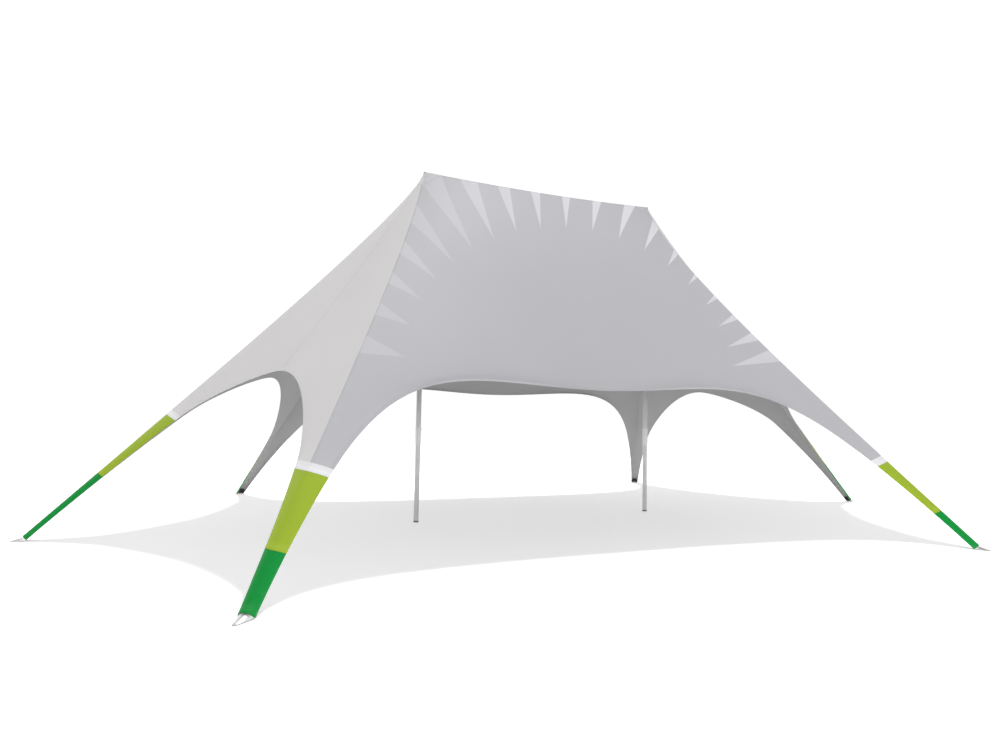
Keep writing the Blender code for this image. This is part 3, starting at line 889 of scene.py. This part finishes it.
class Shading:
    """The nodes of a material, a world or a light, which feed its shader."""

    def __init__(self, owner, shader):
        owner.use_nodes = True
        self.tree = owner.node_tree
        self.shader = self.tree.nodes[shader]

    def node(self, kind, settings=None, values=None, output=0):
        """A node of any kind: its settings first, then its sockets by name or number."""
        made = self.tree.nodes.new(kind)
        for name, value in (settings or {}).items():
            if name == "stops":
                self.set_stops(made.color_ramp, value)
            else:
                setattr(made, name, value)
        for key, value in (values or {}).items():
            if isinstance(value, Value):
                self.tree.links.new(value.socket, made.inputs[key])
            else:
                made.inputs[key].default_value = value
        return Value(self, made.outputs[output])

    def set_stops(self, ramp, stops):
        while len(ramp.elements) < len(stops):
            ramp.elements.new(1.0)
        for element, (position, grey) in zip(ramp.elements, stops):
            element.position = position
            element.color = (grey, grey, grey, 1.0)

    def maths(self, operation, *values):
        return self.node("ShaderNodeMath", {"operation": operation}, dict(enumerate(values)))

    def clamp(self, value):
        settings = {"operation": "ADD", "use_clamp": True}
        return self.node("ShaderNodeMath", settings, {0: value, 1: 0.0})

    def smooth(self, value, low, high):
        """0 below low and 1 above high, with a soft step between."""
        return self.node(
            "ShaderNodeMapRange",
            {"interpolation_type": "SMOOTHSTEP"},
            {"Value": value, "From Min": low, "From Max": high},
        )

    def coordinates(self, kind):
        return self.node("ShaderNodeTexCoord", output=kind)

    def parts(self, vector):
        made = self.node("ShaderNodeSeparateXYZ", values={0: vector})
        return [Value(self, output) for output in made.socket.node.outputs]

    def scaled(self, vector, scale):
        return self.node("ShaderNodeMapping", values={"Vector": vector, "Scale": scale})

    def noise(self, vector, scale, detail):
        values = {"Vector": vector, "Scale": scale, "Detail": detail}
        return self.node("ShaderNodeTexNoise", values=values)

    def mix(self, factor, first, second, blend="MIX"):
        """A colour between two colours."""
        settings = {"data_type": "RGBA", "blend_type": blend}
        return self.node("ShaderNodeMix", settings, {0: factor, 6: first, 7: second}, output=2)

    def bump(self, height, distance, strength, below=None):
        values = {"Height": height, "Distance": distance, "Strength": strength}
        if below:
            values["Normal"] = below
        return self.node("ShaderNodeBump", values=values)

    def feed(self, socket, value):
        self.tree.links.new(value.socket, self.shader.inputs[socket])


class Finish(Shading):
    """A material with a Principled shader."""

    def __init__(self, name, **constants):
        self.material = bpy.data.materials.new(name)
        super().__init__(self.material, "Principled BSDF")
        for socket, value in constants.items():
            self.shader.inputs[socket.replace("_", " ")].default_value = value


def shade(colour, factor):
    return (*(value * factor for value in colour), 1.0)


def weave_height(finish, uv):
    """The over and under of a plain weave, from 0 to 1."""
    across, along, _ = finish.parts(uv)
    turn = 2 * math.pi / WEAVE_PITCH
    warp = finish.maths("SINE", across * turn)
    weft = finish.maths("SINE", along * turn)
    return warp * weft * 0.5 + 0.5


def cloth_finish(name, colour, roughness=0.62, rays=None, stitches=(), end_stitches=()):
    """Coated woven polyester: plain weave, faint mottling and soiling, and soft creases.
    rays is the colour of a printed sunburst. stitches and end_stitches hold the distances
    across and along the piece's UV map at which rows of thread run."""
    finish = Finish(
        name, Roughness=roughness, Sheen_Weight=0.04, Sheen_Roughness=0.45, Specular_IOR_Level=0.14
    )
    uv = finish.coordinates("UV")
    point = finish.coordinates("Object")
    base = shade(colour, 1.0)
    if rays:
        base = finish.mix(sunburst(finish, point), base, shade(rays, 1.0))
    mottle = finish.noise(point, 1.3, 4.0)
    fine = finish.noise(point, 14.0, 3.0)
    worn = finish.clamp(mottle * 0.7 + fine * 0.3)
    tone = finish.node("ShaderNodeValToRGB", {"stops": ((0.3, 0.972), (0.7, 1.0))}, {0: worn})
    shown = finish.mix(1.0, base, tone, "MULTIPLY")
    height = finish.parts(point)[2]
    dust = (1.0 - finish.smooth(height, 0.0, DUSTY_UP_TO)) * finish.smooth(fine, 0.4, 0.7) * 0.05
    shown = finish.mix(dust, shown, DUST)
    normal = finish.bump(weave_height(finish, uv), WEAVE_DEPTH, 0.35)
    creases = finish.noise(finish.scaled(point, (1.0, 1.0, 0.6)), 2.6, 2.0)
    normal = finish.bump(creases, CREASE_DEPTH, 0.12, normal)
    if stitches or end_stitches:
        thread = stitch_rows(finish, uv, stitches, end_stitches)
        shown = finish.mix(thread * 0.55, shown, shade(colour, 0.62))
        normal = finish.bump(thread, THREAD_DEPTH, 0.9, normal)
    finish.feed("Base Color", shown)
    finish.feed("Roughness", finish.clamp(fine * 0.12 + (roughness - 0.06)))
    finish.feed("Normal", normal)
    return finish.material


def stitch_rows(finish, uv, stitches, end_stitches):
    """A mask of rows of thread at some distances across and along the UV map."""
    across, along, _ = finish.parts(uv)
    thread = None
    for aside, run, distances in ((across, along, stitches), (along, across, end_stitches)):
        phase = finish.maths("FRACT", run / STITCH_PITCH)
        from_middle = finish.maths("ABSOLUTE", phase - 0.5)
        dash = 1.0 - finish.smooth(from_middle, *STITCH_END)
        for distance in distances:
            off = finish.maths("ABSOLUTE", aside - distance)
            row = 1.0 - finish.smooth(off, STITCH_HALF_WIDTH * 0.6, STITCH_HALF_WIDTH * 1.4)
            here = row * dash
            thread = here if thread is None else finish.maths("MAXIMUM", thread, here)
    return thread


def squared(value):
    return value * value


def sunburst(finish, point):
    """A mask of slim rays that point at the panel's middle and widen towards its borders."""
    x, _, z = finish.parts(point)
    aside, up = x - RAY_CENTRE[0], z - RAY_CENTRE[1]
    radius = finish.maths("SQRT", squared(aside) + squared(up))
    angle = finish.maths("ARCTAN2", aside, up)
    middle, spread, lean = RAY_ANGLES
    rate = finish.maths("SQRT", (middle - angle) * (-4 * lean) + spread**2)
    place = (spread - rate) / (-2 * lean)
    number = place * RAYS_A_SIDE
    between = finish.maths("ABSOLUTE", number - finish.maths("ROUND", number))
    off = between * rate * radius / RAYS_A_SIDE
    turn_cos, turn_sin = math.cos(RAY_TIPS_TURN), math.sin(RAY_TIPS_TURN)
    east, north = x - RAY_TIPS_CENTRE[0], z - RAY_TIPS_CENTRE[1]
    along = (east * turn_cos + north * turn_sin) / RAY_TIPS_RADII[0]
    athwart = (north * turn_cos - east * turn_sin) / RAY_TIPS_RADII[1]
    out = finish.maths("SQRT", squared(along) + squared(athwart))
    past_tip = finish.maths("SQRT", squared(east) + squared(north)) * (1.0 - 1.0 / out)
    level, slope, curve = RAY_WIDENING
    half_width = past_tip * (squared(place) * curve + place * slope + level)
    ray = finish.clamp((half_width - off) / RAY_EDGE + 0.5)
    within = finish.maths("LESS_THAN", finish.maths("ABSOLUTE", place), 1.0 + 0.5 / RAYS_A_SIDE)
    faded = 1.0 - squared(place - RAY_BRIGHTEST) * RAY_FADE
    return ray * within * finish.maths("MAXIMUM", faded, RAY_FAINTEST)


def metal_finish(name, colour, roughness, brushed=0.0):
    """Metal with fine drawing lines along Z, light scratches, dulled patches, and a dark, duller
    band where it meets the ground: painted contact shade, with grime."""
    finish = Finish(name, Metallic=1.0, Roughness=roughness)
    point = finish.coordinates("Object")
    lines = finish.noise(finish.scaled(point, (60.0, 60.0, 1.2)), 14.0, 4.0)
    patches = finish.noise(point, 9.0, 4.0)
    dulled = finish.smooth(patches, 0.35, 0.75)
    tone = finish.mix(dulled, shade(colour, 1.0), shade(colour, 0.95))
    # Darker, less metallic and rougher at the ground line: painted contact shade, with grime
    contact_shade_and_grime = 1.0 - finish.smooth(finish.parts(point)[2], 0.0, CONTACT_SHADE_AND_DUST_UP_TO)
    finish.feed("Base Color", finish.mix(contact_shade_and_grime * 0.75, tone, CONTACT_SHADE_AND_GRIME))
    finish.feed("Metallic", 1.0 - contact_shade_and_grime * 0.8)
    worn = patches * 0.08 + lines * brushed + contact_shade_and_grime * 0.4
    finish.feed("Roughness", finish.clamp(worn + (roughness - 0.04)))
    finish.feed("Normal", finish.bump(lines, DRAWN_LINE_DEPTH, 0.12 + brushed))
    return finish.material


def plastic_finish(name, colour, roughness):
    """Moulded plastic with a fine grain, slightly worn, paler high spots and ground dust."""
    finish = Finish(name, Roughness=roughness)
    point = finish.coordinates("Object")
    grain = finish.noise(point, 900.0, 2.0)
    wear = finish.smooth(finish.noise(point, 35.0, 4.0), 0.5, 0.8)
    dust = 1.0 - finish.smooth(finish.parts(point)[2], 0.0, CONTACT_SHADE_AND_DUST_UP_TO)
    shown = finish.mix(wear * 0.4, shade(colour, 1.0), shade(colour, 2.6))
    finish.feed("Base Color", finish.mix(dust * 0.6, shown, DUST))
    finish.feed("Roughness", finish.clamp(wear * 0.2 + (roughness - 0.05)))
    finish.feed("Normal", finish.bump(grain, GRAIN_DEPTH, 0.4))
    return finish.material


# Operators


def plan_and_colours():
    scene = bpy.context.scene
    return Plan(scene.marquee_sizes), scene.marquee_colours


def once(name, make, *settings, **more):
    """A material, made the first time that it is asked for."""
    return bpy.data.materials.get(name) or make(name, *settings, **more)


# Grey of the fabric's back, darkened as painted shade inside the canopy, the sleeves, seams and
# hems
def underside(colours, name="canvas_underside", stitches=()):
    return once(name, cloth_finish, colours.underside, UNDERSIDE_ROUGHNESS, stitches=stitches)


# Black moulded plastic of the plugs and pole heads; on the foot shells' inner faces it is painted
# shade
def black_plastic_and_shade(colours):
    return once("black_plastic_moulded", plastic_finish, colours.black, 0.45)


def sewn_finishes(colours, part, stitches, rays=None):
    """Finishes of a part on the long panels, and of the same part on the end panels."""
    return (
        cloth_finish(f"{part}_of_long_panels", colours.printed_grey, rays=rays, stitches=stitches),
        cloth_finish(f"{part}_of_end_panels", colours.pale_grey, stitches=stitches),
    )


SHEETS = []


def shared_sheet(plan):
    """The relaxed canopy sheet, worked out once."""
    if not SHEETS:
        SHEETS.append(canopy_sheet(plan))
    return SHEETS[0]


class MARQUEE_OT_panels(bpy.types.Operator):
    """Makes the long panels and the end panels, each one continuous curved sheet"""

    bl_idname = "marquee.panels"
    bl_label = "Fabric panels"

    def execute(self, context):
        plan, colours = plan_and_colours()
        sheet = shared_sheet(plan)
        printed = cloth_finish("printed_canvas", colours.printed_grey, rays=colours.ray_grey)
        # Pale grey of the end panels: partly their own colour, partly painted light
        pale = cloth_finish("pale_canvas", colours.pale_grey)
        inner = underside(colours)

        def finish_panel(name, bm, finish, replaced):
            area = sheet_area(bm)
            piece = finish_piece(name, bm, [finish, inner], "grey_canvas")
            thicken(piece, plan.sizes.fabric, -1.0, lining=1)
            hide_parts(*replaced)

        for y_name, side_y in SIDES_Y.items():
            bm = cut_panel(sheet, (PANEL_MAIN,), 0, side_y)
            write_uv(bm, lambda vert: (vert.co.x, vert.co.z * LONG_UV_RISE))
            replaced = [f"{y_name}_{x_name}_main_panel" for x_name in SIDES_X]
            name = f"{y_name}_panel"
            finish_panel(name, bm, printed, replaced)
            for x_name, side_x in SIDES_X.items():
                bm = cut_panel(sheet, END_PANEL, side_x, side_y)
                write_uv(bm, lambda vert: (
                    (vert.co.x + vert.co.y) * END_UV_ACROSS, vert.co.z * END_UV_RISE
                ))
                place = f"{y_name}_{x_name}"
                replaced = [f"{place}_corner_gore", f"{place}_end_gore"]
                finish_panel(f"{place}_end_panel", bm, pale, replaced)
        return {"FINISHED"}


class MARQUEE_OT_peaks(bpy.types.Operator):
    """Makes the sewn patches over the two peaks"""

    bl_idname = "marquee.peaks"
    bl_label = "Peak patches"

    def execute(self, context):
        plan, colours = plan_and_colours()
        sheet = shared_sheet(plan)
        finishes = sewn_finishes(colours, "patch", PATCH_STITCHES, colours.ray_grey)
        for x_name, side_x in SIDES_X.items():
            bm = cut_panel(sheet, (PANEL_MAIN, *END_PANEL), side_x, 0, only_patch=True)
            panel = bm.faces.layers.int["panel"]
            down = bm.verts.layers.float["down"]
            for face in bm.faces:
                face.material_index = int(face[panel] != PANEL_MAIN)
            write_uv(bm, lambda vert: (
                vert[down] * CAP_LENGTH, vert.co.y + vert.co.x * PATCH_UV_LEAN
            ))
            area = sheet_area(bm)
            piece = finish_piece(f"{x_name}_peak_patch", bm, finishes, "grey_canvas")
            thicken(piece, PATCH_THICKNESS, 1.0)
            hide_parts(f"{x_name}_peak_cap")
        return {"FINISHED"}


class MARQUEE_OT_seams(bpy.types.Operator):
    """Makes the sewn seams over the crowns, the ridge and the end panels"""

    bl_idname = "marquee.seams"
    bl_label = "Seams"

    def execute(self, context):
        plan, colours = plan_and_colours()
        sizes = plan.sizes
        printed, pale = sewn_finishes(colours, "seam", SEAM_STITCHES, colours.ray_grey)
        inner = underside(colours, "seam_underside", SEAM_INNER_STITCHES)

        def add_seam(name, line, sides, finish):
            frames = []
            for kind, side_x, side_y in sides:
                panel = cut_panel(shared_sheet(plan), (kind,), side_x, side_y)
                frames.append(line_frames(line, edge_facts(panel)))
                panel.free()
            sections = [
                seam_section(point, first, second, sizes.seam_width, sizes.fabric)
                for point, first, second in zip(line, *frames)
            ]
            finishes = [finish, inner]
            sew(name, line, sections, SEAM_OUTER_STRIPS, finishes, sizes.seam_width)

        crown_end = plan.crown_points(plan.end_leg)
        crown_corner = plan.crown_points(plan.corner_leg)
        end_seam = plan.end_seam_points()
        for x_name, side_x in SIDES_X.items():
            line = mirrored(crown_end, side_x, 1)
            sides = [(PANEL_END_GORE, side_x, side_y) for side_y in SIDES_Y.values()]
            add_seam(f"{x_name}_end_crown_seam", line, sides, pale)
            for y_name, side_y in SIDES_Y.items():
                main, corner, end = [(kind, side_x, side_y) for kind in (PANEL_MAIN, *END_PANEL)]
                place = f"{y_name}_{x_name}"
                line = mirrored(crown_corner, side_x, side_y)
                add_seam(f"{place}_crown_seam", line, (main, corner), printed)
                line = mirrored(end_seam, side_x, side_y)
                add_seam(f"{place}_end_seam", line, (corner, end), pale)
        half_ridge = plan.ridge_points()
        line = mirrored(half_ridge, -1, 1) + half_ridge[::-1][1:]
        sides = [(PANEL_MAIN, 0, side_y) for side_y in SIDES_Y.values()]
        add_seam("ridge_seam", line, sides, printed)
        return {"FINISHED"}


class MARQUEE_OT_hems(bpy.types.Operator):
    """Makes the folded hems round the two long arches and the four end arches"""

    bl_idname = "marquee.hems"
    bl_label = "Hems"

    def execute(self, context):
        plan, colours = plan_and_colours()
        sizes = plan.sizes
        printed, pale = sewn_finishes(colours, "hem", HEM_STITCHES)
        inner = underside(colours, "hem_underside", HEM_INNER_STITCHES)

        def add_hem(name, line, side, finish):
            panel = cut_panel(shared_sheet(plan), *side)
            frames = line_frames(line, edge_facts(panel))
            tree = BVHTree.FromBMesh(panel)
            panel.free()
            sections = []
            for point, frame_here in zip(line, frames):
                walk = walk_in(tree, point, frame_here, sizes.hem_width)
                sections.append(hem_section(walk, -frame_here[0], sizes.fabric))
            outer_strips = HEM_STEPS + 1 + len(HEM_FOLD)
            sew(name, line, sections, outer_strips, [finish, inner], sizes.hem_width)

        long_edge = plan.long_edge_points()
        to_corner = plan.end_edge_points(plan.corner_leg, 1)
        to_end = plan.end_edge_points(plan.end_leg, -1)
        for y_name, side_y in SIDES_Y.items():
            line = mirrored(long_edge[::-1], -1, side_y) + mirrored(long_edge[1:], 1, side_y)
            side = ((PANEL_MAIN,), 0, side_y)
            add_hem(f"{y_name}_hem", line, side, printed)
            for x_name, side_x in SIDES_X.items():
                line = mirrored(to_end[::-1] + to_corner[1:], side_x, side_y)
                place = f"{y_name}_{x_name}_end"
                side = (END_PANEL, side_x, side_y)
                add_hem(f"{place}_hem", line, side, pale)
        return {"FINISHED"}


class MARQUEE_OT_feet(bpy.types.Operator):
    """Makes the polished foot shells, whose inner faces are black as painted shade inside them"""

    bl_idname = "marquee.feet"
    bl_label = "Feet"

    def execute(self, context):
        plan, colours = plan_and_colours()
        # The second finish makes the shells' inner faces black: painted shade inside the shells
        finishes = [metal_finish("foot_metal", colours.steel, 0.36), black_plastic_and_shade(colours)]
        for name, leg in plan.legs.items():
            shell = shell_mesh(leg, plan.sizes)
            foot = finish_piece(f"{name}_foot", shell, finishes, "polished_steel")
            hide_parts(f"{name}_foot_shell")
        return {"FINISHED"}


def slanted_joint(leg, mark):
    return lambda across: leg.joint(mark, across)


class MARQUEE_OT_sleeves(bpy.types.Operator):
    """Makes the white bands and the lime and green sleeves of the six legs"""

    bl_idname = "marquee.sleeves"
    bl_label = "Leg bands and sleeves"

    def execute(self, context):
        plan, colours = plan_and_colours()
        inner = underside(colours)
        rows = {"stitches": SLEEVE_EDGE_STITCHES, "end_stitches": SLEEVE_END_STITCHES}
        white = cloth_finish("white_canvas", colours.band_white, **rows)
        lime = cloth_finish("lime_canvas", colours.lime, **rows)
        green = cloth_finish("green_canvas", colours.green, **rows)
        covers = (
            ("white_band", white, "grey_canvas"),
            ("lime_cover", lime, "lime_canvas"),
            ("green_cover", green, "green_canvas"),
        )
        for name, leg in plan.legs.items():
            joints = [slanted_joint(leg, mark) for mark in (leg.top, leg.lime_top, leg.green_top)]
            joints.append(lambda across, mark=leg.green_foot: mark)
            for (cover, finish, slot), top, bottom in zip(covers, joints, joints[1:]):
                bm = sleeve_mesh(leg, bottom, top, plan.sizes)
                cloth = sheet_area(bm) / 2
                made = finish_piece(f"{name}_{cover}", bm, [finish, inner], slot)
                node = f"{name}_{cover.replace('cover', 'sleeve')}"
                if node in frame["nodes"]:
                    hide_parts(node)
                length = edge_length(bottom, top)
        return {"FINISHED"}


class MARQUEE_OT_poles(bpy.types.Operator):
    """Gives the poles their brushed tubes, couplings, buttons, plugs and heads"""

    bl_idname = "marquee.poles"
    bl_label = "Poles"

    def execute(self, context):
        _, colours = plan_and_colours()

        def metal(name, paler, roughness, brushed):
            return metal_finish(name, shade(colours.aluminium, paler)[:3], roughness, brushed)

        upper = metal("upper_tube_metal", 1.0, 0.34, 0.12)
        lower = metal("lower_tube_metal", 1.07, 0.34, 0.12)
        collar = metal("pole_collar_metal", 1.14, 0.25, 0.08)
        finishes = {
            "pole_end_plug": black_plastic_and_shade(colours),
            "lower_tube": lower,
            "coupling": collar,
            "lock_button": collar,
            "upper_tube": upper,
            "pole_head": black_plastic_and_shade(colours),
        }
        for x_name in SIDES_X:
            for piece, finish in finishes.items():
                materials = frame["nodes"][f"{x_name}_{piece}"].data.materials
                materials.clear()
                materials.append(finish)
        return {"FINISHED"}


class MARQUEE_OT_stage(bpy.types.Operator):
    """Makes the pale floor, the soft studio light and the camera"""

    bl_idname = "marquee.stage"
    bl_label = "Stage"

    def execute(self, context):
        self.add_floor()
        self.add_sky(context.scene)
        self.add_lamps()
        self.add_camera(context.scene)
        return {"FINISHED"}

    def add_floor(self):
        bm = bmesh.new()
        bmesh.ops.create_circle(bm, cap_ends=True, segments=FLOOR_SIDES, radius=FLOOR_RADIUS)
        mesh = bpy.data.meshes.new("floor")
        bm.to_mesh(mesh)
        bm.free()
        finish = Finish(
            "studio_floor", Roughness=0.9, Emission_Strength=FLOOR_GLOW,
            Base_Color=FLOOR_COLOUR, Emission_Color=WHITE,
        )
        mesh.materials.append(finish.material)
        new_object("floor", mesh)

    def add_sky(self, scene):
        scene.world = bpy.data.worlds.new("studio")
        sky = Shading(scene.world, "Background")
        sky.shader.inputs["Color"].default_value = WHITE
        height = sky.parts(sky.coordinates("Generated"))[2]
        bounds = {"From Min": ZENITH_FROM, "From Max": ZENITH_FULL}
        glows = {"To Min": HORIZON_GLOW, "To Max": ZENITH_GLOW}
        sky.feed("Strength", sky.node(
            "ShaderNodeMapRange",
            {"interpolation_type": "SMOOTHSTEP"},
            {"Value": height, **bounds, **glows},
        ))
        scene.view_settings.view_transform = "Standard"

    def add_lamps(self):
        key = bpy.data.lights.new("key", "POINT")
        key.shadow_soft_size = KEY_RADIUS
        shading = Shading(key, "Emission")
        shading.feed("Strength", shading.node(
            "ShaderNodeLightFalloff", values={"Strength": KEY_STRENGTH}, output="Constant"
        ))
        new_object("key", key).location = KEY_PLACE
        side = bpy.data.lights.new("side", "SUN")
        side.energy = SIDE_STRENGTH
        side.angle = math.radians(SIDE_SPREAD)
        turn = Vector(SIDE_FROM).to_track_quat("Z", "Y").to_euler()
        new_object("side", side).rotation_euler = turn

    def add_camera(self, scene):
        lens = bpy.data.cameras.new("camera")
        lens.sensor_width = CAMERA_SENSOR
        lens.lens = CAMERA_FOCAL_PIXELS / PICTURE_WIDTH * CAMERA_SENSOR
        lens.clip_end = CAMERA_CLIP_END
        yaw_sin, yaw_cos = math.sin(CAMERA_YAW), math.cos(CAMERA_YAW)
        flat, rise = math.cos(CAMERA_PITCH), math.sin(CAMERA_PITCH)
        forward = Vector((yaw_sin * flat, yaw_cos * flat, rise))
        level = Vector((yaw_cos, -yaw_sin, 0.0))
        up = level.cross(forward)
        right = level * math.cos(CAMERA_ROLL) + up * math.sin(CAMERA_ROLL)
        up = up * math.cos(CAMERA_ROLL) - level * math.sin(CAMERA_ROLL)
        turn = Matrix((right, up, -forward)).transposed().to_4x4()
        camera = new_object("camera", lens)
        camera.matrix_world = Matrix.Translation(CAMERA_PLACE) @ turn
        scene.camera = camera


class MARQUEE_PT_sidebar(bpy.types.Panel):
    """Shows the marquee's sizes and colours, and a button for each of its operators"""

    bl_idname = "MARQUEE_PT_sidebar"
    bl_label = "Star marquee"
    bl_space_type = "VIEW_3D"
    bl_region_type = "UI"
    bl_category = "Marquee"

    def draw(self, context):
        for group in (context.scene.marquee_sizes, context.scene.marquee_colours):
            box = self.layout.box()
            for name in group.bl_rna.properties.keys():
                if name not in ("name", "rna_type"):
                    box.prop(group, name)
        for operator in OPERATORS:
            self.layout.operator(operator.bl_idname)


OPERATORS = (
    MARQUEE_OT_panels,
    MARQUEE_OT_peaks,
    MARQUEE_OT_seams,
    MARQUEE_OT_hems,
    MARQUEE_OT_feet,
    MARQUEE_OT_sleeves,
    MARQUEE_OT_poles,
    MARQUEE_OT_stage,
)
CLASSES = (MarqueeSizes, MarqueeColours, *OPERATORS, MARQUEE_PT_sidebar)


def register():
    for known in CLASSES:
        bpy.utils.register_class(known)
    bpy.types.Scene.marquee_sizes = PointerProperty(type=MarqueeSizes)
    bpy.types.Scene.marquee_colours = PointerProperty(type=MarqueeColours)


def unregister():
    del bpy.types.Scene.marquee_colours
    del bpy.types.Scene.marquee_sizes
    for known in reversed(CLASSES):
        bpy.utils.unregister_class(known)


def main():
    register()
    for operator in OPERATORS:
        group, name = operator.bl_idname.split(".")
        getattr(getattr(bpy.ops, group), name)()
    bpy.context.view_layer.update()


if __name__ == "__main__":
    main()
